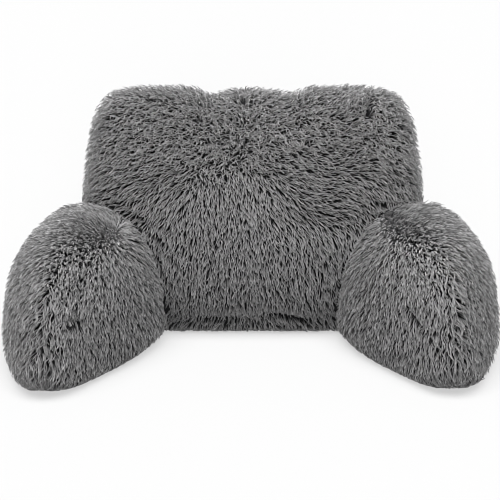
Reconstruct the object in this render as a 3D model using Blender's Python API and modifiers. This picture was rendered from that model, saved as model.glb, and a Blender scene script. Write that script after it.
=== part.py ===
"""Reading pillow with arms: a backrest and two arm bolsters of long-pile fabric.

Metres, +Z up.  The pillow stands on z = 0 and the reader leans against the face that
looks along -Y.  Left and right are as seen from the front, so the left arm is at -X.
Each piece is one filled cushion, and its surface is where the tips of the pile end.
"""

import math
from collections import namedtuple

import bmesh
import bpy
from mathutils import Vector

# ---------------------------------------------------------------- driving dimensions

GAP = 0.0003                 # between pieces that are sewn to each other
PRESSED_FLAT = 0.002         # lowest layer of each form, which its weight presses flat

# Backrest: rows from the floor up.  front and rear are the y of its two faces.
BackSection = namedtuple("BackSection", "height half_width front rear")
BACK_SECTIONS = (
    BackSection(0.000, 0.276, -0.090, 0.108),
    BackSection(0.060, 0.290, -0.110, 0.122),
    BackSection(0.180, 0.294, -0.098, 0.122),
    BackSection(0.290, 0.283, -0.064, 0.118),
    BackSection(0.350, 0.273, -0.036, 0.110),
    BackSection(0.402, 0.262, -0.012, 0.104),
)
BACK_HEIGHT = BACK_SECTIONS[-1].height
BACK_ROUNDING_LOW = Vector((0.14, 0.28, 0.14))    # share of each half size rounded off
BACK_ROUNDING_TOP = Vector((0.24, 0.92, 0.30))
BACK_CROWN = 0.016           # how far the stuffed front and rear faces bulge
BACK_CUTS = (12, 5, 9)       # cage strips across, through and up

# Arms: rows from the backrest forward.  forward is how far the row lies along -Y.
ArmSection = namedtuple("ArmSection", "forward spread half_width height")
ARM_SECTIONS = (
    ArmSection(-0.085, 0.262, 0.115, 0.237),
    ArmSection(0.110, 0.269, 0.134, 0.237),
    ArmSection(0.220, 0.287, 0.116, 0.238),
    ArmSection(0.320, 0.306, 0.072, 0.221),
    ArmSection(0.412, 0.316, 0.039, 0.212),
)
ARM_WAIST = 0.065            # height at which an arm is widest
ARM_TAPER = 0.10             # share of its width that it loses from there to the top
ARM_ROUNDING_LOW = Vector((0.38, 0.66, 0.34))
ARM_ROUNDING_TOP = Vector((1.00, 0.70, 1.00))
ARM_REAR_SHARE = 0.9         # the rear end is a little blunter than the front end
ARM_CUTS = (6, 9, 6)

# What tells the two arms apart: toe_out is how far the tip swings out past the table, and
# length is the arm's share of the table's length.
ArmShape = namedtuple("ArmShape", "side fullness toe_out length")
ARM_SHAPES = {
    "arm_left": ArmShape(-1.0, 1.000, 0.003, 1.000),
    "arm_right": ArmShape(1.0, 1.014, -0.010, 0.965),
}

# Creases and dips, as lines across the front view that are pressed into the surface.
# x and z are the middle of the line, and slant turns it up from level, in degrees.
Trough = namedtuple("Trough", "x z slant half_length half_width depth")
BACK_TROUGHS = (
    Trough(-0.068, 0.385, 90.0, 0.020, 0.022, 0.011),    # left dip in the top edge
    Trough(0.058, 0.385, 90.0, 0.020, 0.020, 0.010),     # right dip in the top edge
    Trough(0.000, 0.400, 0.0, 0.060, 0.040, 0.004),      # lower middle of the top edge
    Trough(0.198, 0.330, 45.0, 0.022, 0.018, 0.008),     # fold below the right corner
    Trough(0.150, 0.205, 6.0, 0.070, 0.022, 0.005),      # shallow crease on the right
    Trough(0.000, 0.034, 0.0, 0.260, 0.016, 0.007),      # seam above the base panel
)
ARM_TROUGHS = {
    "arm_left": (Trough(-0.292, 0.120, 82.0, 0.040, 0.018, 0.004),),
    "arm_right": (Trough(0.290, 0.120, 96.0, 0.040, 0.018, 0.004),),
}

FUR_GREY = (0.135, 0.135, 0.138, 1.0)
FUR_ROUGHNESS = 0.95


# ---------------------------------------------------------------- helpers

def clear_scene():
    for thing in list(bpy.data.objects):
        bpy.data.objects.remove(thing, do_unlink=True)


def new_collection(name, hidden=False):
    collection = bpy.data.collections.new(name)
    collection.hide_render = hidden
    bpy.context.scene.collection.children.link(collection)
    return collection


def fur_material(name):
    material = bpy.data.materials.new(name)
    material.use_nodes = True
    shader = material.node_tree.nodes["Principled BSDF"]
    shader.inputs["Base Color"].default_value = FUR_GREY
    shader.inputs["Roughness"].default_value = FUR_ROUGHNESS
    shader.inputs["Metallic"].default_value = 0.0
    return material


def row_at(rows, value):
    """The table's row at a value of its first column, worked out between two rows."""
    if value <= rows[0][0]:
        return rows[0]
    for low, high in zip(rows, rows[1:]):
        if value <= high[0]:
            share = (value - low[0]) / (high[0] - low[0])
            return type(low)(*(a + (b - a) * share for a, b in zip(low, high)))
    return rows[-1]


def cube_cage(cuts):
    """A cube from -1 to 1, cut into strips that get narrower towards its edges."""
    cage = bmesh.new()
    bmesh.ops.create_cube(cage, size=2.0)
    for axis, strips in enumerate(cuts):
        normal = Vector((0.0, 0.0, 0.0))
        normal[axis] = 1.0
        for step in range(1, strips):
            place = math.sin(math.pi / 2 * (2.0 * step / strips - 1.0))
            geometry = cage.verts[:] + cage.edges[:] + cage.faces[:]
            bmesh.ops.bisect_plane(cage, geom=geometry, plane_co=normal * place, plane_no=normal)
    return cage


def round_off(point, low, top, rear_share=1.0):
    """Turn the edges of the -1 to 1 cube into arcs, whose shares change from low to top."""
    height = (point.z + 1.0) / 2.0
    rounding = low.lerp(top, height * height * (3.0 - 2.0 * height))
    if point.y > 0.0:
        rounding.y *= rear_share
    core = Vector([max(r - 1.0, min(1.0 - r, c)) for c, r in zip(point, rounding)])
    over = Vector([(c - k) / r for c, k, r in zip(point, core, rounding)])
    over *= max(abs(c) for c in over) / over.length
    return core + Vector([c * r for c, r in zip(over, rounding)])


def smoothed_object(cage, name, collection):
    """An object whose mesh is the cage after one level of Subdivision Surface."""
    bmesh.ops.recalc_face_normals(cage, faces=cage.faces[:])
    mesh = bpy.data.meshes.new(name + "_cage")
    cage.to_mesh(mesh)
    cage.free()
    piece = bpy.data.objects.new(name, mesh)
    collection.objects.link(piece)
    smooth = piece.modifiers.new("smooth", "SUBSURF")
    smooth.levels = 1
    smooth.render_levels = 1
    bpy.context.view_layer.update()
    evaluated = piece.evaluated_get(bpy.context.evaluated_depsgraph_get())
    piece.data = bpy.data.meshes.new_from_object(evaluated)
    piece.data.name = name
    piece.data.shade_smooth()
    piece.modifiers.remove(smooth)
    bpy.data.meshes.remove(mesh)
    return piece


def press_flat(piece):
    """Stand the piece on the floor with a flat underside."""
    for vert in piece.data.vertices:
        vert.co.z = max(0.0, vert.co.z - PRESSED_FLAT)


def press_troughs(piece, troughs):
    """Sink soft lines into the faces that look forward or up."""
    moves = []
    for vert in piece.data.vertices:
        depth = 0.0
        for trough in troughs:
            turn = math.radians(trough.slant)
            east = vert.co.x - trough.x
            north = vert.co.z - trough.z
            along = east * math.cos(turn) + north * math.sin(turn)
            beside = north * math.cos(turn) - east * math.sin(turn)
            beyond = max(0.0, abs(along) - trough.half_length)
            distance = math.hypot(beside, beyond) / trough.half_width
            depth += trough.depth * math.exp(-distance * distance)
        facing = max(0.0, -vert.normal.y, vert.normal.z)
        moves.append(vert.normal * -depth * facing)
    for vert, move in zip(piece.data.vertices, moves):
        vert.co += move


def triangulate(mesh):
    """Split the faces now, so that a swollen copy has the same triangles."""
    flat = bmesh.new()
    flat.from_mesh(mesh)
    bmesh.ops.triangulate(flat, faces=flat.faces[:])
    flat.to_mesh(mesh)
    flat.free()


# ---------------------------------------------------------------- pieces

def make_backrest(collection):
    cage = cube_cage(BACK_CUTS)
    for vert in cage.verts:
        across, through, up = round_off(vert.co, BACK_ROUNDING_LOW, BACK_ROUNDING_TOP)
        height = (up + 1.0) / 2.0 * BACK_HEIGHT
        row = row_at(BACK_SECTIONS, height)
        middle = (row.front + row.rear) / 2.0
        half_depth = (row.rear - row.front) / 2.0
        crown = BACK_CROWN * (1.0 - across ** 2) * (1.0 - up ** 2)
        vert.co = (across * row.half_width, middle + through * (half_depth + crown), height)
    piece = smoothed_object(cage, "backrest", collection)
    press_troughs(piece, BACK_TROUGHS)
    press_flat(piece)
    triangulate(piece.data)
    return piece


def make_arm(name, shape, collection):
    cage = cube_cage(ARM_CUTS)
    rear = ARM_SECTIONS[0].forward
    tip = ARM_SECTIONS[-1].forward
    for vert in cage.verts:
        across, back, up = round_off(vert.co, ARM_ROUNDING_LOW, ARM_ROUNDING_TOP, ARM_REAR_SHARE)
        forward = rear + (tip - rear) * (1.0 - back) / 2.0
        row = row_at(ARM_SECTIONS, forward)
        spread = row.spread + shape.toe_out * max(0.0, forward / tip)
        room = ARM_WAIST if up < 0.0 else row.height * shape.fullness - ARM_WAIST
        half_width = row.half_width * shape.fullness * (1.0 - ARM_TAPER * max(0.0, up) ** 2)
        vert.co.x = shape.side * (spread + across * half_width)
        vert.co.y = -forward * shape.length
        vert.co.z = ARM_WAIST + up * room
    piece = smoothed_object(cage, name, collection)
    press_troughs(piece, ARM_TROUGHS[name])
    press_flat(piece)
    return piece


def cut_clear(piece, neighbour, cutters):
    """Take the neighbour, swollen by GAP, out of the piece."""
    cutter = bpy.data.objects.new(piece.name + "_cutter", neighbour.data.copy())
    cutter.hide_render = True
    cutter.display_type = "WIRE"
    cutters.objects.link(cutter)
    swell = cutter.modifiers.new("gap", "DISPLACE")
    swell.mid_level = 0.0
    swell.strength = GAP
    cut = piece.modifiers.new("sewn to the backrest", "BOOLEAN")
    cut.operation = "DIFFERENCE"
    cut.solver = "EXACT"
    cut.object = cutter
    return cutter


def centre_on_origin(pieces, cutters):
    """Hang everything on an empty that puts the pillow's box over the origin."""
    corners = [Vector(corner) for piece in pieces for corner in piece.bound_box]
    middle = [(min(c[axis] for c in corners) + max(c[axis] for c in corners)) / 2.0 for axis in (0, 1)]
    anchor = bpy.data.objects.new("pillow_anchor", None)
    anchor.location = (-middle[0], -middle[1], 0.0)
    bpy.context.scene.collection.objects.link(anchor)
    for thing in pieces + cutters:
        thing.parent = anchor


def main():
    clear_scene()
    pillow = new_collection("reading_pillow")
    cutter_collection = new_collection("cutters", hidden=True)
    backrest = make_backrest(pillow)
    arms = [make_arm(name, shape, pillow) for name, shape in ARM_SHAPES.items()]
    cutters = [cut_clear(arm, backrest, cutter_collection) for arm in arms]
    for piece in [backrest] + arms:
        piece.data.materials.append(fur_material(piece.name + "_fur"))
    centre_on_origin([backrest] + arms, cutters)


main()
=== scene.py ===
"""Looks of the reading pillow with arms: three filled cushions under long, tufted pile.

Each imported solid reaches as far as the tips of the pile.  A cushion is drawn in from it by
the pile's depth and puffed out as cloth.  Tufts of fine strands are spread evenly over the
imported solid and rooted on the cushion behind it.  From there each tuft marches along the
cushion in the direction in which the pile lies, and its tips rise about as far as the solid.
"""

import math
from collections import namedtuple

import bmesh
import bpy
import numpy as np
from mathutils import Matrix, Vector
from mathutils.bvhtree import BVHTree
from mathutils.kdtree import KDTree


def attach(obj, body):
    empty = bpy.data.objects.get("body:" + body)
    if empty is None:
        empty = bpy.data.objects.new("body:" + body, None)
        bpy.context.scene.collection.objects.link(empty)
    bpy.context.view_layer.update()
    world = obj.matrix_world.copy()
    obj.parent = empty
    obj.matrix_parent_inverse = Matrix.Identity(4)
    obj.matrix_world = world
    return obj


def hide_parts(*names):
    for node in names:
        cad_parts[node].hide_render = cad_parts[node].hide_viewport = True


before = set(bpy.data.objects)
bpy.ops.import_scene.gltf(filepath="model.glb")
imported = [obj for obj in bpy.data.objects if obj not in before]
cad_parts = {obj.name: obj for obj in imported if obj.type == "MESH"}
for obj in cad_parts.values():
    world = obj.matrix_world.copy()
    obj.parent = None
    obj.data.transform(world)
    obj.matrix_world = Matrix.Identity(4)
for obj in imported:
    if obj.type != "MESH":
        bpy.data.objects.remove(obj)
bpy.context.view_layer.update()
SOLIDS = {}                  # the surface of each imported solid, to find distances from
TINY = 1e-9                  # in place of a length of 0, so that it can be divided by

# Random draws start from these, so that every run gives the same result.
SEED = 7                     # for how the pile's way wanders, and for the first panel
CREASE_SEED = 9              # for how creases wander and fade
PANEL_SEED_STEP = 10         # from one panel's seed to the next one's

# ---- the filled cushions, in metres
PILE_DEPTH = 0.0120          # from the pile's tips to the cushion, before it puffs out
UNDER_DEPTH = 0.0010         # the same on the underside, where the pile is pressed flat
SEAM_DEPTH = 0.0010          # the same where an arm is sewn to the backrest
SEAM_REACH = 0.010           # the pile's depth grows back to full over this distance
SEAM_HOLD = 0.005            # the cloth is pinned where it is nearer to a neighbour than this
# More depth on broad faces, where a cushion puffs out the most.
PUFF_ROOM = {"backrest": 0.0030, "arm_left": 0.0, "arm_right": 0.0}
# A face is broad by the Y of its normal, either way, and under by how far it looks down: not at
# all below the first of each two values, and fully above the second.
BROAD = (0.50, 0.90)
UNDER = (0.60, 0.95)
UNDERSIDE_NORMAL = -0.80     # the cloth is pinned, and the pile left out, where its Z is less
WELD_DISTANCE = 1e-5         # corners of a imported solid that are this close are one
CUSHION_VOXEL = 0.0060       # of the even net that the cloth is
PUFF_FRAMES = 20
PUFF_PRESSURE = 4.0
CLOTH_STEPS = 4              # of the simulation for each frame
CLOTH_MASS = 0.3
CLOTH_TENSION = 20.0
CLOTH_COMPRESSION = 12.0
CLOTH_BENDING = 0.6
PUFF_CAP = 0.005             # most that a point of a cushion may move
PULL_CAP = 0.001             # most that it may move inwards, where a cover draws in its edges

# ---- the pile, in metres
# Of the tufts of each cover: how close two may stand, how long they are, their radius at the
# root, how many strands they have and how wide those are.  Lit is painted light: how far the
# colour all along a strand is shifted towards its tip's lighter one, taking back some of the
# painted shade at the root.  Tone goes from 0, dark, to 1.  The arms have the coarser and
# darker tufts.
Tuft = namedtuple("Tuft", "spacing length radius strands width lit tone")
TUFTS = {
    "backrest": Tuft(0.0028, 0.0155, 0.0013, 8, 0.00090, 0.09, 0.48),
    "arm_left": Tuft(0.0034, 0.0170, 0.0015, 9, 0.00090, 0.30, 0.33),
    "arm_right": Tuft(0.0034, 0.0170, 0.0015, 9, 0.00090, 0.30, 0.31),
}
FLOOR_CLEARANCE = 0.0006     # of the lowest strands above the floor
CANDIDATES_PER_TUFT = 7      # tries at a place for each tuft
DENSER_END_ON = 0.30         # share by which they stand closer where they are seen end on
SEAM_BARE = 0.006            # no tuft is rooted nearer to a neighbour than this

# A strand is a narrow leaf from a point, through an edge, to a point.  Each ring says how far
# along it is, how high it has risen through the pile, how far the tuft is still spread, and
# the strand's width, as shares.
Ring = namedtuple("Ring", "along rise spread width")
RINGS = (
    Ring(0.00, 0.00, 1.00, 0.00),
    Ring(0.56, 0.90, 0.50, 1.00),
    Ring(1.00, 1.00, 0.16, 0.00),
)
RING_ALONG = np.array([ring.along for ring in RINGS])
RING_SPREAD = np.array([ring.spread for ring in RINGS])
RING_WIDTH = np.array([ring.width for ring in RINGS])
STRAND_FACES = ((0, 2, 1), (1, 2, 3))
# The map that a strand's colour is read from: across by its tone, and up from root to tip.
MAP_ROOT = 0.01
MAP_TIP = 0.99
MAP_HALF_WIDTH = 0.003       # of a strand on it
TONE_LIMITS = (0.005, 0.995)

# How tufts differ from each other.
TUFT_LENGTHS = (0.75, 1.25)  # shortest and longest, as shares of the cover's length
SHORTER_UPRIGHT = 0.45       # share of their length that upright ones lack
STRAY = 15.0                 # degrees, as a spread, between a tuft's way and the pile's
STRAY_RUFFLED = 25.0         # more degrees where the pile is ruffled
STRAY_KEPT = 0.80            # share of that turn which a tuft takes again as it marches on
TUFT_BEND = 0.0011           # how far one bows and flicks sideways, and as much again if ruffled
TUFT_TONE_SPREAD = 0.10      # of the tone that all the strands of a tuft share
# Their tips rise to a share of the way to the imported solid, evenly between two lifts.  Chance
# then adds a tail to that, with a mean, so that a few stick out by much more, up to a limit.
TIP_LIFTS = (0.70, 1.14)
TIP_TAIL = 0.12
TIP_LIMIT = 1.45
# On the rim, where a cushion is seen against the ground, they differ more, and many stoop.
RIM_NORMAL = 0.60            # it begins where the normal's Y is less than this, either way
LOWER_AT_RIM = 0.10          # off the lower of the two lifts
TAIL_AT_RIM = 0.10           # on top of the tail
STOOP_AT_RIM = 0.50          # most of the rise that their middle lacks
STOOP_SPARED_ON_TOP = 0.50   # share of that which is left out where the rim faces up

# How the strands of a tuft differ from each other.  Each one's place leaves a share of the
# tuft's round area, between the first two, nearer to the middle.
STRAND_PLACES = (0.05, 1.00)
OPEN_SPREAD = 0.90           # share of its radius that an open tuft keeps to its tip
TIP_THICKNESS = 0.70         # of a tuft at its tip, as a share of its width there
TIP_LENGTHS = (-0.16, 0.08)  # by how much a strand's last part is shorter or longer, as shares
TIP_SCATTER = 0.0006         # how far tips stray, as a spread
STRAND_TWIST = 0.45          # how far flat sides turn from the tuft's skin, in radians, likewise
STRAND_TONE_SPREAD = 0.08
# Painted light: shares of a cover's lit that a tuft has anyway, and more of it where its tips
# point out of the front and are seen end on, and where it is open, so that those tufts are
# painted lighter along their whole length.
Lit = namedtuple("Lit", "anyway end_on opened")
LIT = Lit(0.70, 0.30, 1.40)

# How the pile lies.  It points away from a crown, by forward times as much along Y and never
# up, and drops everywhere.  It falls as well: not at all above fall_top, and fully below
# fall_low.  And it falls by aside where it is reach to the side of the crown, and by the cube
# of that way elsewhere.
Lay = namedtuple("Lay", "crown forward drop fall fall_top fall_low aside reach")
LAYS = {
    "backrest": Lay((-0.063, 0.124, 0.329), 0.15, 0.010, 0.38, 0.202, 0.138, 0.27, 0.24),
    "arm_left": Lay((-0.230, -0.027, 0.170), 0.30, 0.030, 0.20, 0.165, -0.110, 0.64, 0.12),
    "arm_right": Lay((0.235, 0.020, 0.165), 0.30, 0.045, 0.45, 0.206, -0.150, 0.70, 0.12),
}
PARTING_WIDTH = 0.050        # the pile turns aside over this distance from the crown's line
UPRIGHT_BELOW = 0.022        # it stands up, and its tufts open, about and below this pull
STRAYS_BELOW = 0.070         # and its tufts stray from each other's way about and below this
# It is seen end on by a gain times how far it points out in front, less a loss, from 0 to 1.
END_ON_GAIN = 1.6
END_ON_LOSS = 0.2
# How its way wanders all over: over what distance, and by how much pull.
SWAYS = (
    (0.110, 0.026),
    (0.035, 0.016),
)
# Whatever wanders does so by a ripple: a sum of waves of any phase, each closer or wider than
# the usual by a factor between two.  Their sum is divided by a size, to be about 1 long.
RIPPLE_WAVES = 6
RIPPLE_FACTORS = (0.7, 1.4)
RIPPLE_PHASES = (0.0, 6.3)
RIPPLE_SIZE = 1.7
# The pile is ruffled where it has been leant on: not below low, and fully above high.  Around
# the crown its tufts stray by at_crown degrees more.  Sway is the share of the sways it has.
Ruffle = namedtuple("Ruffle", "low high at_crown sway")
RUFFLES = {
    "backrest": Ruffle(0.250, 0.340, 40.0, 1.0),
    "arm_left": Ruffle(0.200, 0.260, 0.0, 0.2),
    "arm_right": Ruffle(0.200, 0.260, 0.0, 0.2),
}
# Places where the pile is brushed another way, the more so the nearer to the middle: along
# angle, from +X towards +Z.
Comb = namedtuple("Comb", "x z radius angle strength")
COMBS = {
    "backrest": (
        Comb(0.178, 0.373, 0.045, 79.0, 0.90),
        Comb(0.167, 0.307, 0.039, 26.0, 0.85),
        Comb(0.133, 0.236, 0.055, 28.0, 0.70),
        Comb(0.208, 0.371, 0.027, -57.0, 0.95),
        Comb(0.216, 0.335, 0.028, -50.0, 0.80),
        Comb(-0.008, 0.218, 0.053, -99.0, 0.60),
        Comb(-0.155, 0.370, 0.060, 217.0, 0.90),
        Comb(-0.190, 0.300, 0.060, 222.0, 0.60),
        Comb(-0.050, 0.362, 0.045, 182.0, 0.50),
        Comb(-0.110, 0.016, 0.024, 195.0, 0.92),
        Comb(-0.060, 0.016, 0.026, 200.0, 0.92),
        Comb(0.050, 0.016, 0.026, -35.0, 0.92),
        Comb(0.100, 0.016, 0.024, -35.0, 0.92),
    ),
    "arm_left": (Comb(-0.240, 0.240, 0.040, 185.0, 0.45),),
    "arm_right": (Comb(0.250, 0.240, 0.040, -5.0, 0.45),),
}
BRUSHED_PULL = 0.20          # how strongly it is drawn that way
# Lines along which the pile is pressed down: a seam, or a fold in the filling.  x and z are the
# middle of each, slant turns it up from level, in degrees, and its ends sag.
Crease = namedtuple("Crease", "x z slant half_length half_width depth sag")
CREASES = {
    "backrest": (
        Crease(0.000, 0.044, 0.0, 0.150, 0.0075, 0.60, 0.016),
        Crease(0.000, 0.012, 0.0, 0.150, 0.0150, 0.25, 0.0),
        Crease(0.190, 0.363, 58.0, 0.010, 0.0050, 0.90, 0.0),
    ),
    "arm_left": (
        Crease(-0.267, 0.150, 80.0, 0.016, 0.0055, 0.80, 0.0),
        Crease(-0.276, 0.108, -20.0, 0.012, 0.0040, 0.90, 0.0),
    ),
    "arm_right": (
        Crease(0.258, 0.106, -45.0, 0.012, 0.0045, 0.90, 0.0),
        Crease(0.236, 0.160, 84.0, 0.022, 0.0045, 0.60, 0.0),
    ),
}
CREASE_RIPPLE = 0.060        # long creases wander and fade over this distance
LONG_CREASE = 0.100          # half the length from which they do so in full
CREASE_WANDER = 0.0070       # how far they stray from their lines
CREASE_FADE = 0.75           # share of their depth that they lose in places:
FADE_RANGE = (-0.5, 0.5)     # none at the first value of the ripple, all of that at the second
FOLD_DEPTH = 0.0060          # how far a cushion is drawn in along a crease
BARE_IN_CREASES = 0.65       # share of the tufts that are missing there

# Panels that the covers are sewn from, each with its pile as one piece, and which faces of the
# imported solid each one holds, by their centres and normals.  Tufts stand thinner times as far
# apart: most on the backrest's rear, which lies against a wall or headboard.
FACING = 0.55                # its front and rear are where a normal's Y is more, either way
Panel = namedtuple("Panel", "name node thinner holds")
PANELS = (
    Panel("backrest_pile_front_left", "backrest", 1.00,
          lambda centres, normals: (normals[:, 1] < -FACING) & (centres[:, 0] <= 0.0)),
    Panel("backrest_pile_front_right", "backrest", 1.00,
          lambda centres, normals: (normals[:, 1] < -FACING) & (centres[:, 0] > 0.0)),
    Panel("backrest_pile_rear", "backrest", 1.40,
          lambda centres, normals: normals[:, 1] > FACING),
    Panel("backrest_pile_rim", "backrest", 1.12,
          lambda centres, normals: abs(normals[:, 1]) <= FACING),
    Panel("arm_left_pile_outer", "arm_left", 1.00,
          lambda centres, normals: normals[:, 0] <= 0.0),
    Panel("arm_left_pile_inner", "arm_left", 1.00,
          lambda centres, normals: normals[:, 0] > 0.0),
    Panel("arm_right_pile_outer", "arm_right", 1.00,
          lambda centres, normals: normals[:, 0] > 0.0),
    Panel("arm_right_pile_inner", "arm_right", 1.00,
          lambda centres, normals: normals[:, 0] <= 0.0),
)

# ---- finish
# Colours come at stops: a strand's from its root, at 0, to its tip, at 1, and the others' from
# one end of a noise to the other.  The rest is what the inputs of shader nodes are set to.
# A strand's own grey lies between the ends: near black at the root is painted shade, for the
# shade deep in the pile, and the light tip is a painted highlight.
FUR_GREYS_SHADE_AND_HIGHLIGHT = (
    (0.20, (0.018, 0.018, 0.019, 1.0)),
    (0.52, (0.198, 0.196, 0.197, 1.0)),
    (0.75, (0.280, 0.278, 0.279, 1.0)),
    (1.00, (0.480, 0.477, 0.478, 1.0)),
)
FUR_TONES = {"To Min": 0.45, "To Max": 1.60}
FUR_FINISH = {
    "Roughness": 0.62,
    "Specular IOR Level": 0.35,
    "Sheen Weight": 0.15,
    "Sheen Roughness": 0.50,
}
# Near black, as painted shade for the shade deep down in the pile, with the knit's fibres as a
# noise between the two stops.
BACKING_SHADE_COLOURS = (
    (0.35, (0.010, 0.010, 0.011, 1.0)),
    (0.68, (0.030, 0.030, 0.031, 1.0)),
)
BACKING_FIBRES = {"Scale": 420.0, "Detail": 5.0, "Roughness": 0.65}
BACKING_BUMP = {"Strength": 0.60, "Distance": 0.001}
BACKING_FINISH = {"Roughness": 0.95, "Specular IOR Level": 0.10}
WHITE = (1.0, 1.0, 1.0, 1.0)
FLOOR_COLOURS = (
    (0.00, (0.182225, 0.182225, 0.182225, 1.0)),
    (1.00, (0.185, 0.185, 0.185, 1.0)),
)
FLOOR_MOTTLE = {"Scale": 1.5}
FLOOR_FINISH = {
    "Emission Color": WHITE,
    "Emission Strength": 0.490,
    "Roughness": 0.90,
    "Specular IOR Level": 0.10,
}

# ---- studio
FLOOR_REACH = 60.0           # so far that its edge is out of every view from above
SKY_STRENGTH = 0.30
# Wide, soft lights: strength, degrees across, and the way to each from the object.
Lamp = namedtuple("Lamp", "name strength width toward")
FUR_LAMPS = (
    Lamp("key_light", 4.6, 60.0, (-0.05, -0.30, 1.0)),
    Lamp("left_light", 2.2, 60.0, (-1.0, 0.15, 0.55)),
    Lamp("right_light", 2.1, 60.0, (1.0, 0.15, 0.55)),
    Lamp("rim_light", 4.6, 60.0, (-0.25, 0.85, 0.70)),
)
FLOOR_LAMPS = (
    Lamp("floor_light", 6.9, 60.0, (-0.05, -0.45, 1.0)),
    Lamp("floor_fill", 6.5, 20.0, (0.0, -1.0, 0.20)),
)

# ---- view
PIVOT = (0.0, 0.040, 0.190)  # the eye is this far from here, at this angle above level
VIEW_DISTANCE = 2.8
VIEW_ANGLE = math.radians(15)
EYE = Vector((
    PIVOT[0],
    PIVOT[1] - VIEW_DISTANCE * math.cos(VIEW_ANGLE),
    PIVOT[2] + VIEW_DISTANCE * math.sin(VIEW_ANGLE),
))
AIM = Vector((-0.003, 0.040, 0.151))
LENS = 122.2                 # in millimetres, as the sensor's width is
SENSOR_WIDTH = 36.0
PIXEL_FILTER = 1.0           # of a pixel: the photo is as sharp


# ---------------------------------------------------------------- small helpers

def smoothstep(value, low=0.0, high=1.0):
    """0 at low and before it, 1 at high and beyond it, and a soft curve between."""
    share = np.clip((value - low) / (high - low), 0.0, 1.0)
    return share * share * (3.0 - 2.0 * share)


def mixed(first, second, share):
    """The share of the way from the first value to the second."""
    return first + (second - first) * share


def unit(vectors):
    """Rows of vectors, each made 1 long."""
    lengths = np.linalg.norm(vectors, axis=-1, keepdims=True)
    return vectors / np.maximum(lengths, TINY)


def read_points(mesh, attribute="co"):
    """The mesh's vertex positions or normals as rows of an array."""
    values = np.empty(len(mesh.vertices) * 3)
    mesh.vertices.foreach_get(attribute, values)
    return values.reshape(-1, 3)


def write_points(mesh, points):
    mesh.vertices.foreach_set("co", points.astype(np.float32).ravel())
    mesh.update()


def surface_tree(mesh):
    corners = [vertex.co for vertex in mesh.vertices]
    return BVHTree.FromPolygons(corners, [tuple(face.vertices) for face in mesh.polygons])


def link(name, mesh):
    piece = bpy.data.objects.new(name, mesh)
    bpy.context.scene.collection.objects.link(piece)
    return piece


def node_neighbours(node):
    """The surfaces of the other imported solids."""
    return [solid for name, solid in SOLIDS.items() if name != node]


def distance_to(trees, points, reach):
    """How far each point is from the nearest of the surfaces, or reach if it is further."""
    found = np.full(len(points), reach)
    for row, point in enumerate(points):
        for tree in trees:
            hit = tree.find_nearest(point, reach)
            if hit[0] is not None:
                found[row] = min(found[row], hit[3])
    return found


# ---------------------------------------------------------------- materials

def new_material(name):
    material = bpy.data.materials.new(name)
    material.use_nodes = True
    nodes = material.node_tree.nodes
    return material, nodes, material.node_tree.links, nodes["Principled BSDF"]


def set_inputs(node, values):
    for name, value in values.items():
        node.inputs[name].default_value = value


def colour_ramp(nodes, stops):
    """A node that turns a share into a colour, with a position and a colour for every stop."""
    ramp = nodes.new("ShaderNodeValToRGB")
    elements = ramp.color_ramp.elements
    for element, (position, colour) in zip(elements, (stops[0], stops[-1])):
        element.position = position
        element.color = colour
    for position, colour in stops[1:-1]:
        elements.new(position).color = colour
    return ramp


def fur_material():
    """Strands painted dark at the root as shade and lighter to the tip as a highlight, and each
    of its own tone.
    """
    material, nodes, links, shader = new_material("fur_pile")
    place = nodes.new("ShaderNodeUVMap")
    place.uv_map = "OFBake"
    split = nodes.new("ShaderNodeSeparateXYZ")
    links.new(place.outputs["UV"], split.inputs["Vector"])
    along = colour_ramp(nodes, FUR_GREYS_SHADE_AND_HIGHLIGHT)
    links.new(split.outputs["Y"], along.inputs["Fac"])
    tone = nodes.new("ShaderNodeMapRange")
    set_inputs(tone, FUR_TONES)
    links.new(split.outputs["X"], tone.inputs["Value"])
    blend = nodes.new("ShaderNodeVectorMath")
    blend.operation = "SCALE"
    links.new(along.outputs["Color"], blend.inputs[0])
    links.new(tone.outputs["Result"], blend.inputs["Scale"])
    links.new(blend.outputs["Vector"], shader.inputs["Base Color"])
    set_inputs(shader, FUR_FINISH)
    return material


def backing_material():
    """The knitted ground that the pile stands in, with short fibres lying on it, painted near
    black as the shade deep in the pile.
    """
    material, nodes, links, shader = new_material("fur_backing")
    place = nodes.new("ShaderNodeTexCoord")
    fibres = nodes.new("ShaderNodeTexNoise")
    set_inputs(fibres, BACKING_FIBRES)
    links.new(place.outputs["Object"], fibres.inputs["Vector"])
    shade = colour_ramp(nodes, BACKING_SHADE_COLOURS)
    links.new(fibres.outputs["Fac"], shade.inputs["Fac"])
    links.new(shade.outputs["Color"], shader.inputs["Base Color"])
    bump = nodes.new("ShaderNodeBump")
    set_inputs(bump, BACKING_BUMP)
    links.new(fibres.outputs["Fac"], bump.inputs["Height"])
    links.new(bump.outputs["Normal"], shader.inputs["Normal"])
    set_inputs(shader, BACKING_FINISH)
    return material


def floor_material():
    """Smooth pale paper with the faintest mottling."""
    material, nodes, links, shader = new_material("studio_floor")
    mottle = nodes.new("ShaderNodeTexNoise")
    set_inputs(mottle, FLOOR_MOTTLE)
    shade = colour_ramp(nodes, FLOOR_COLOURS)
    links.new(mottle.outputs["Fac"], shade.inputs["Fac"])
    links.new(shade.outputs["Color"], shader.inputs["Base Color"])
    set_inputs(shader, FLOOR_FINISH)
    return material


# ---------------------------------------------------------------- filled cushions

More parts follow.
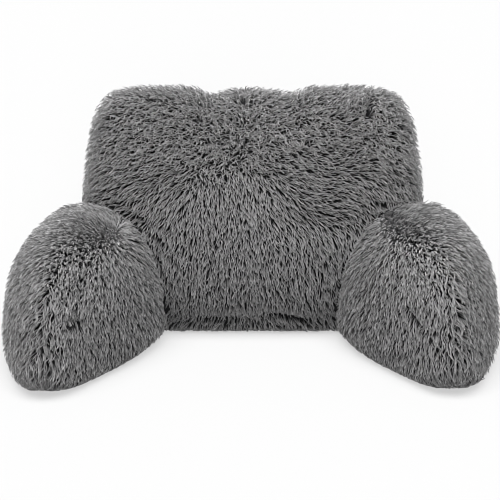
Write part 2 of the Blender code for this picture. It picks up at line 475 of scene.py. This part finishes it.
def drawn_in_mesh(node):
    """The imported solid, drawn in by the depth of the pile but hardly at all at the seams."""
    solid = bmesh.new()
    solid.from_mesh(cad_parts[node].data)
    bmesh.ops.remove_doubles(solid, verts=solid.verts, dist=WELD_DISTANCE)
    bmesh.ops.recalc_face_normals(solid, faces=solid.faces)
    solid.normal_update()
    mesh = bpy.data.meshes.new(node + "_cushion")
    solid.to_mesh(mesh)
    solid.free()
    points = read_points(mesh)
    normals = read_points(mesh, "normal")
    from_seam = distance_to(node_neighbours(node), points, SEAM_REACH)
    full_depth = PILE_DEPTH + PUFF_ROOM[node] * smoothstep(abs(normals[:, 1]), *BROAD)
    depth = mixed(SEAM_DEPTH, full_depth, smoothstep(from_seam, 0.0, SEAM_REACH))
    under = smoothstep(-normals[:, 2], *UNDER)
    depth = depth * (1.0 - under) + UNDER_DEPTH * under
    write_points(mesh, points - normals * depth[:, None])
    return mesh


def remeshed(piece):
    """Gives the piece an even net of small faces."""
    remesh = piece.modifiers.new("even_net", "REMESH")
    remesh.mode = "VOXEL"
    remesh.voxel_size = CUSHION_VOXEL
    bake_modifiers(piece)


def bake_modifiers(piece):
    """Gives the piece the mesh that its modifiers make of its own, and clears them."""
    bpy.context.view_layer.update()
    shown = piece.evaluated_get(bpy.context.evaluated_depsgraph_get())
    mesh = bpy.data.meshes.new_from_object(shown)
    piece.modifiers.clear()
    old = piece.data
    piece.data = mesh
    bpy.data.meshes.remove(old)


def hold_seams(piece, node):
    """Pins the points that are sewn to a neighbour or pressed on the surface below."""
    points = read_points(piece.data)
    normals = read_points(piece.data, "normal")
    from_seam = distance_to(node_neighbours(node), points, SEAM_REACH)
    pinned = (from_seam < SEAM_HOLD) | (normals[:, 2] < UNDERSIDE_NORMAL)
    held = piece.vertex_groups.new(name="held")
    held.add([int(row) for row in np.nonzero(pinned)[0]], 1.0, "REPLACE")


def add_cloth(piece):
    """A cover that a filling presses out from inside, without any weight."""
    cloth = piece.modifiers.new("filling", "CLOTH")
    cloth.settings.quality = CLOTH_STEPS
    cloth.settings.mass = CLOTH_MASS
    cloth.settings.tension_stiffness = CLOTH_TENSION
    cloth.settings.compression_stiffness = CLOTH_COMPRESSION
    cloth.settings.bending_stiffness = CLOTH_BENDING
    cloth.settings.use_pressure = True
    cloth.settings.uniform_pressure_force = PUFF_PRESSURE
    cloth.settings.effector_weights.gravity = 0.0
    cloth.settings.vertex_group_mass = "held"
    cloth.point_cache.frame_start = 1
    cloth.point_cache.frame_end = PUFF_FRAMES


def puff_out(cushions):
    """Lets the filling press all the covers out together, each point by at most the cap."""
    starts = {piece.name: read_points(piece.data) for piece in cushions}
    outwards = {piece.name: read_points(piece.data, "normal") for piece in cushions}
    for piece in cushions:
        add_cloth(piece)
    for number in range(1, PUFF_FRAMES + 1):
        bpy.context.scene.frame_set(number)
    for piece in cushions:
        bake_modifiers(piece)
        start = starts[piece.name]
        outward = outwards[piece.name]
        move = read_points(piece.data) - start
        rise = np.sum(move * outward, axis=1, keepdims=True)
        move -= outward * np.minimum(rise + PULL_CAP, 0.0)
        length = np.linalg.norm(move, axis=1, keepdims=True)
        kept = np.minimum(1.0, PUFF_CAP / np.maximum(length, TINY))
        write_points(piece.data, start + move * kept)
    bpy.context.scene.frame_set(1)


def draw_in_creases(node, mesh):
    """Sinks the cushion along its creases, and keeps it off the surface it stands on."""
    points = read_points(mesh)
    normals = read_points(mesh, "normal")
    sunk = FOLD_DEPTH * pressed(node, points) * (normals[:, 1] < 0.0)
    points -= normals * sunk[:, None]
    points[:, 2] = np.maximum(points[:, 2], 0.0)
    write_points(mesh, points)


def make_cushions(material):
    cushions = {}
    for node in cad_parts:
        piece = link(node + "_cushion", drawn_in_mesh(node))
        remeshed(piece)
        hold_seams(piece, node)
        cushions[node] = piece
    puff_out(list(cushions.values()))
    for node, piece in cushions.items():
        draw_in_creases(node, piece.data)
        piece.vertex_groups.clear()
        piece.data.shade_smooth()
        piece.data.materials.clear()
        piece.data.materials.append(material)
        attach(piece, "root")
        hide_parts(node)
    return cushions


# ---------------------------------------------------------------- the way the pile lies

def ripple(points, wavelength, rng):
    """A smooth field of vectors about 1 long, uneven over about the wavelength."""
    total = np.zeros_like(points)
    for _ in range(RIPPLE_WAVES):
        wave = unit(rng.normal(size=3)) * (2.0 * math.pi / wavelength)
        wave *= rng.uniform(*RIPPLE_FACTORS)
        push = unit(rng.normal(size=3))
        total += np.sin(points @ wave + rng.uniform(*RIPPLE_PHASES))[:, None] * push
    return total / RIPPLE_SIZE


def comb_through(vectors, points, combs):
    """The ways of the pile, drawn over to those that it is brushed in."""
    for comb in combs:
        away = np.hypot(points[:, 0] - comb.x, points[:, 2] - comb.z) / comb.radius
        share = (comb.strength * np.exp(-away * away))[:, None]
        angle = math.radians(comb.angle)
        brushed = np.array((math.cos(angle), 0.0, math.sin(angle))) * BRUSHED_PULL
        vectors = vectors * (1.0 - share) + brushed * share
    return vectors


def pressed(node, points):
    """How far the pile is pressed down by creases, seen from the front, from 0 to 1."""
    share = np.zeros(len(points))
    uneven = ripple(points, CREASE_RIPPLE, np.random.default_rng(CREASE_SEED))
    wander = uneven[:, 2] * CREASE_WANDER
    fade = CREASE_FADE * smoothstep(uneven[:, 0], *FADE_RANGE)
    for crease in CREASES[node]:
        turn = math.radians(crease.slant)
        east = points[:, 0] - crease.x
        north = points[:, 2] - crease.z
        along = east * math.cos(turn) + north * math.sin(turn)
        beside = north * math.cos(turn) - east * math.sin(turn)
        length_share = min(1.0, crease.half_length / LONG_CREASE)
        beside += wander * length_share
        beside += crease.sag * (along / crease.half_length) ** 2
        beyond = np.maximum(0.0, abs(along) - crease.half_length)
        away = np.hypot(beside, beyond) / crease.half_width
        depth = crease.depth * (1.0 - fade * length_share)
        share = np.maximum(share, depth * np.exp(-away * away))
    return share


def pile_direction(node, points, normals):
    """Where the pile points, along the cushion, and how strongly it is drawn that way."""
    lay = LAYS[node]
    away = points - np.array(lay.crown)
    away[:, 0] *= smoothstep(abs(away[:, 0]), 0.0, PARTING_WIDTH)
    away[:, 1] *= lay.forward
    away[:, 2] = np.minimum(away[:, 2], 0.0) - lay.drop
    sunk = smoothstep(points[:, 2], lay.fall_top, lay.fall_low)
    away[:, 2] -= lay.fall * sunk + lay.aside * (abs(away[:, 0]) / lay.reach) ** 3
    away = comb_through(away, points, COMBS[node])
    for number, (distance, amount) in enumerate(SWAYS):
        uneven = ripple(points, distance, np.random.default_rng(SEED + number))
        away += uneven * (amount * RUFFLES[node].sway)
    along = away - normals * np.sum(away * normals, axis=1, keepdims=True)
    return unit(along), np.linalg.norm(along, axis=1)


def undecided(pull, limit):
    """1 where nothing draws the pile any way, and near 0 above the limit."""
    return np.exp(-(pull / limit) ** 2)


def forwards(headings):
    """How far the pile points out of the front, where its tips are seen end on: from 0 to 1."""
    return np.clip(-END_ON_GAIN * headings[:, 1] - END_ON_LOSS, 0.0, 1.0)


# ---------------------------------------------------------------- tufts

def panel_faces(mesh, panel):
    """Triangles of the solid that belong to the panel: their corners, areas and normals."""
    mesh.calc_loop_triangles()
    corners = np.empty(len(mesh.loop_triangles) * 3, np.int32)
    mesh.loop_triangles.foreach_get("vertices", corners)
    triangles = read_points(mesh)[corners.reshape(-1, 3)]
    cross = np.cross(triangles[:, 1] - triangles[:, 0], triangles[:, 2] - triangles[:, 0])
    area = np.linalg.norm(cross, axis=1) / 2.0
    normals = unit(cross)
    kept = panel.holds(triangles.mean(axis=1), normals) & (normals[:, 2] > UNDERSIDE_NORMAL)
    return triangles[kept], area[kept], normals[kept]


def spread_points(triangles, area, normals, count, rng):
    """Even random points over the triangles, and the normals there."""
    rows = rng.choice(len(area), size=count, p=area / area.sum())
    chosen = triangles[rows]
    first = np.sqrt(rng.random(count))[:, None]
    second = rng.random(count)[:, None]
    points = (
        chosen[:, 0] * (1.0 - first)
        + chosen[:, 1] * (first * (1.0 - second))
        + chosen[:, 2] * (first * second)
    )
    return points, normals[rows]


def thin_out(points, spacings):
    """Drops points until none is closer to a kept one than that one's spacing."""
    tree = KDTree(len(points))
    for row, point in enumerate(points):
        tree.insert(point, row)
    tree.balance()
    free = np.ones(len(points), bool)
    kept = []
    for row, point in enumerate(points):
        if free[row]:
            kept.append(row)
            for _, near, _ in tree.find_range(point, spacings[row]):
                free[near] = False
    return points[kept]


def on_surface(tree, points):
    """The nearest place on the surface to each point, and its normal."""
    places = np.empty_like(points)
    normals = np.empty_like(points)
    for row, point in enumerate(points):
        place, normal, _, _ = tree.find_nearest(point)
        places[row] = place
        normals[row] = normal
    return places, normals


def turned(directions, normals, angles):
    """Directions turned about the normals."""
    cosine = np.cos(angles)[:, None]
    sine = np.sin(angles)[:, None]
    return directions * cosine + np.cross(normals, directions) * sine


Traits = namedtuple("Traits", "jitter length lift stoop bow flick upright")


def tuft_traits(node, places, normals, pull, rng):
    """How each tuft differs from the others, by its place on the cushion and by chance."""
    count = len(places)
    ruffle = RUFFLES[node]
    ruffled = smoothstep(places[:, 2], ruffle.low, ruffle.high)
    upright = undecided(pull, UPRIGHT_BELOW)
    rim = smoothstep(1.0 - abs(normals[:, 1]) / RIM_NORMAL)
    strayed = STRAY + STRAY_RUFFLED * ruffled + ruffle.at_crown * undecided(pull, STRAYS_BELOW)
    jitter = rng.normal(size=count) * np.radians(strayed)
    length = TUFTS[node].length * rng.uniform(*TUFT_LENGTHS, count)
    length *= 1.0 - SHORTER_UPRIGHT * upright
    lift = rng.uniform(TIP_LIFTS[0] - LOWER_AT_RIM * rim, TIP_LIFTS[1])
    lift += rng.exponential(TIP_TAIL + TAIL_AT_RIM * rim)
    lift = np.minimum(lift, TIP_LIMIT)
    on_top = np.clip(normals[:, 2], 0.0, 1.0)
    stoop = STOOP_AT_RIM * rim * (1.0 - STOOP_SPARED_ON_TOP * on_top) * (1.0 - upright)
    stoop *= rng.random(count)
    bow, flick = rng.normal(size=(2, count)) * (TUFT_BEND + TUFT_BEND * ruffled)
    return Traits(jitter, length, lift, stoop, bow, flick, upright)


def tuft_spines(node, skin, roots, rng):
    """The middle line of each tuft, normals and headings along it, and how upright it stands."""
    place, normal = on_surface(skin, roots)
    heading, pull = pile_direction(node, place, normal)
    traits = tuft_traits(node, place, normal, pull, rng)
    heading = turned(heading, normal, traits.jitter)
    spine = [place]
    normals = [normal]
    headings = [heading]
    for before, ring in zip(RINGS, RINGS[1:]):
        reach = traits.length * (ring.along - before.along)
        place, normal = on_surface(skin, place + heading * reach[:, None])
        ahead, _ = pile_direction(node, place, normal)
        heading = heading + turned(ahead, normal, traits.jitter * STRAY_KEPT)
        heading = unit(heading - normal * np.sum(heading * normal, axis=1, keepdims=True))
        arch = math.sin(math.pi * ring.along)
        height = pile_depth(node, place) * traits.lift * ring.rise
        height *= 1.0 - traits.stoop * arch
        height *= 1.0 - pressed(node, place) * (normal[:, 1] < 0.0)
        bend = traits.bow * arch + traits.flick * ring.along
        side = np.cross(normal, heading)
        spine.append(place + normal * height[:, None] + side * bend[:, None])
        normals.append(normal)
        headings.append(heading)
    return np.stack(spine, 1), np.stack(normals, 1), np.stack(headings, 1), traits.upright


def pile_depth(node, places):
    """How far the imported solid's surface, where the tips end, is from points of the cushion."""
    reached, _ = on_surface(SOLIDS[node], places)
    return np.linalg.norm(reached - places, axis=1)


def strand_band(tuft, spines, normals, headings, sides, spread, rng):
    """Corners of the narrow band that one strand of every tuft is."""
    count = len(spines)
    angle = rng.uniform(0.0, 2.0 * math.pi, count)
    radius = tuft.radius * np.sqrt(rng.uniform(*STRAND_PLACES, count))
    across = (np.cos(angle) * radius)[:, None] * spread
    through = (np.sin(angle) * radius)[:, None] * spread
    middle = spines + sides * across[:, :, None]
    middle += headings * (through * (1.0 - RING_ALONG))[:, :, None]
    middle += normals * (through * RING_ALONG * TIP_THICKNESS)[:, :, None]
    longer = rng.uniform(*TIP_LENGTHS, count)[:, None]
    middle[:, -1] += (middle[:, -1] - middle[:, -2]) * longer
    middle[:, -1] += rng.normal(size=(count, 3)) * TIP_SCATTER
    facing = (angle + rng.normal(size=count) * STRAND_TWIST)[:, None, None]
    half_width = RING_WIDTH * tuft.width / 2.0
    flat = (normals * np.cos(facing) - sides * np.sin(facing)) * half_width[:, None]
    band = np.stack((middle - flat, middle + flat), axis=2)
    return band.reshape(count, -1, 3)[:, 1:-1]


def strand_bands(tuft, spines, normals, headings, open_tufts, rng):
    """The bands of all the strands of every tuft, each one's tone, and how much painted light
    lightens its colour.
    """
    count = len(spines)
    sides = np.cross(normals, headings)
    spread = mixed(RING_SPREAD, OPEN_SPREAD, open_tufts[:, None])
    # Painted light: tufts pointing out of the front, or standing open, get a lighter colour along
    # their whole length.
    seen_end_on = np.maximum(open_tufts, forwards(headings[:, 0]))
    lit = tuft.lit * (LIT.anyway + LIT.end_on * seen_end_on + LIT.opened * open_tufts)
    tuft_tone = rng.normal(size=count) * TUFT_TONE_SPREAD
    bands = []
    tones = []
    for _ in range(tuft.strands):
        bands.append(strand_band(tuft, spines, normals, headings, sides, spread, rng))
        tones.append(tuft.tone + tuft_tone + rng.normal(size=count) * STRAND_TONE_SPREAD)
    tones = np.clip(np.concatenate(tones), *TONE_LIMITS)
    return np.concatenate(bands), tones, np.tile(lit, tuft.strands)


def strand_mesh(name, bands, tones, lit):
    """All the strands of a panel as one mesh, with the map that their colour is read from."""
    count, corners_each = bands.shape[:2]
    points = bands.reshape(-1, 3)
    points[:, 2] = np.maximum(points[:, 2], FLOOR_CLEARANCE)
    pattern = np.array(STRAND_FACES).ravel()
    corners = (np.arange(count)[:, None] * corners_each + pattern).ravel()
    faces = np.arange(0, len(corners), 3)
    mesh = bpy.data.meshes.new(name)
    mesh.vertices.add(len(points))
    mesh.vertices.foreach_set("co", points.astype(np.float32).ravel())
    mesh.loops.add(len(corners))
    mesh.loops.foreach_set("vertex_index", corners.astype(np.int32))
    mesh.polygons.add(len(faces))
    mesh.polygons.foreach_set("loop_start", faces.astype(np.int32))
    mesh.update(calc_edges=True)
    along = np.repeat(MAP_ROOT + (MAP_TIP - MAP_ROOT) * RING_ALONG, 2)[1:-1]
    edge = np.array([0.0, -MAP_HALF_WIDTH, MAP_HALF_WIDTH, 0.0])
    where = np.empty((count, corners_each, 2))
    where[:, :, 0] = tones[:, None] + edge
    # Painted light: lit moves each corner's place on the map towards the tip's lighter colour.
    where[:, :, 1] = mixed(along, MAP_TIP, lit[:, None])
    layer = mesh.uv_layers.new(name="OFBake")
    layer.uv.foreach_set("vector", where.reshape(-1, 2)[corners].astype(np.float32).ravel())
    mesh.shade_smooth()
    return mesh


def make_pile(panel, number, tree, material):
    """The pile of one panel of the cover."""
    rng = np.random.default_rng(SEED + PANEL_SEED_STEP * number)
    triangles, area, normals = panel_faces(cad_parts[panel.node].data, panel)
    spacing = TUFTS[panel.node].spacing * panel.thinner
    tries = int(CANDIDATES_PER_TUFT * area.sum() / spacing ** 2)
    points, facing = spread_points(triangles, area, normals, tries, rng)
    heading, pull = pile_direction(panel.node, points, facing)
    end_on = np.maximum(undecided(pull, UPRIGHT_BELOW), forwards(heading))
    tips = thin_out(points, spacing * (1.0 - DENSER_END_ON * end_on))
    roots, _ = on_surface(tree, tips)
    near = distance_to(node_neighbours(panel.node), roots, SEAM_REACH)
    bare = BARE_IN_CREASES * pressed(panel.node, roots)
    roots = roots[(near > SEAM_BARE) & (rng.random(len(roots)) > bare)]
    spines = tuft_spines(panel.node, tree, roots, rng)
    bands, tones, lit = strand_bands(TUFTS[panel.node], *spines, rng)
    piece = link(panel.name, strand_mesh(panel.name, bands, tones, lit))
    piece.data.materials.append(material)
    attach(piece, "root")
    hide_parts(panel.node)
    return piece


# ---------------------------------------------------------------- studio

def make_floor():
    mesh = bpy.data.meshes.new("floor")
    shape = bmesh.new()
    bmesh.ops.create_grid(shape, x_segments=1, y_segments=1, size=FLOOR_REACH)
    shape.to_mesh(mesh)
    shape.free()
    floor = link("floor", mesh)
    mesh.materials.append(floor_material())
    return floor


def make_light(lamp, receivers):
    """A light that falls on the receivers only, so that the floor's shadow has its own."""
    data = bpy.data.lights.new(lamp.name, "SUN")
    data.energy = lamp.strength
    data.angle = math.radians(lamp.width)
    light = link(lamp.name, data)
    light.rotation_euler = Vector(lamp.toward).to_track_quat("Z", "Y").to_euler()
    light.light_linking.receiver_collection = receivers


def make_world():
    world = bpy.data.worlds.new("studio")
    world.use_nodes = True
    sky = world.node_tree.nodes["Background"]
    set_inputs(sky, {"Color": WHITE, "Strength": SKY_STRENGTH})
    bpy.context.scene.world = world


def make_camera():
    camera = link("camera", bpy.data.cameras.new("camera"))
    camera.data.lens = LENS
    camera.data.sensor_width = SENSOR_WIDTH
    camera.location = EYE
    camera.rotation_euler = (AIM - EYE).to_track_quat("-Z", "Y").to_euler()
    bpy.context.scene.camera = camera


def gathered(name, pieces):
    collection = bpy.data.collections.new(name)
    for piece in pieces:
        collection.objects.link(piece)
    return collection


def make_studio(pieces):
    make_world()
    on_floor = gathered("lit_floor", [make_floor()])
    for lamp in FLOOR_LAMPS:
        make_light(lamp, on_floor)
    on_fur = gathered("lit_fur", pieces)
    for lamp in FUR_LAMPS:
        make_light(lamp, on_fur)
    make_camera()
    scene = bpy.context.scene
    scene.view_settings.view_transform = "Standard"
    scene.cycles.filter_width = PIXEL_FILTER


# ---------------------------------------------------------------- all together


def write_size():
    bpy.context.view_layer.update()


def main():
    for node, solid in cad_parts.items():
        SOLIDS[node] = surface_tree(solid.data)
    cushions = make_cushions(backing_material())
    trees = {node: surface_tree(piece.data) for node, piece in cushions.items()}
    fur = fur_material()
    pile = [
        make_pile(panel, number, trees[panel.node], fur)
        for number, panel in enumerate(PANELS)
    ]
    make_studio(list(cushions.values()) + pile)
    write_size()


main()
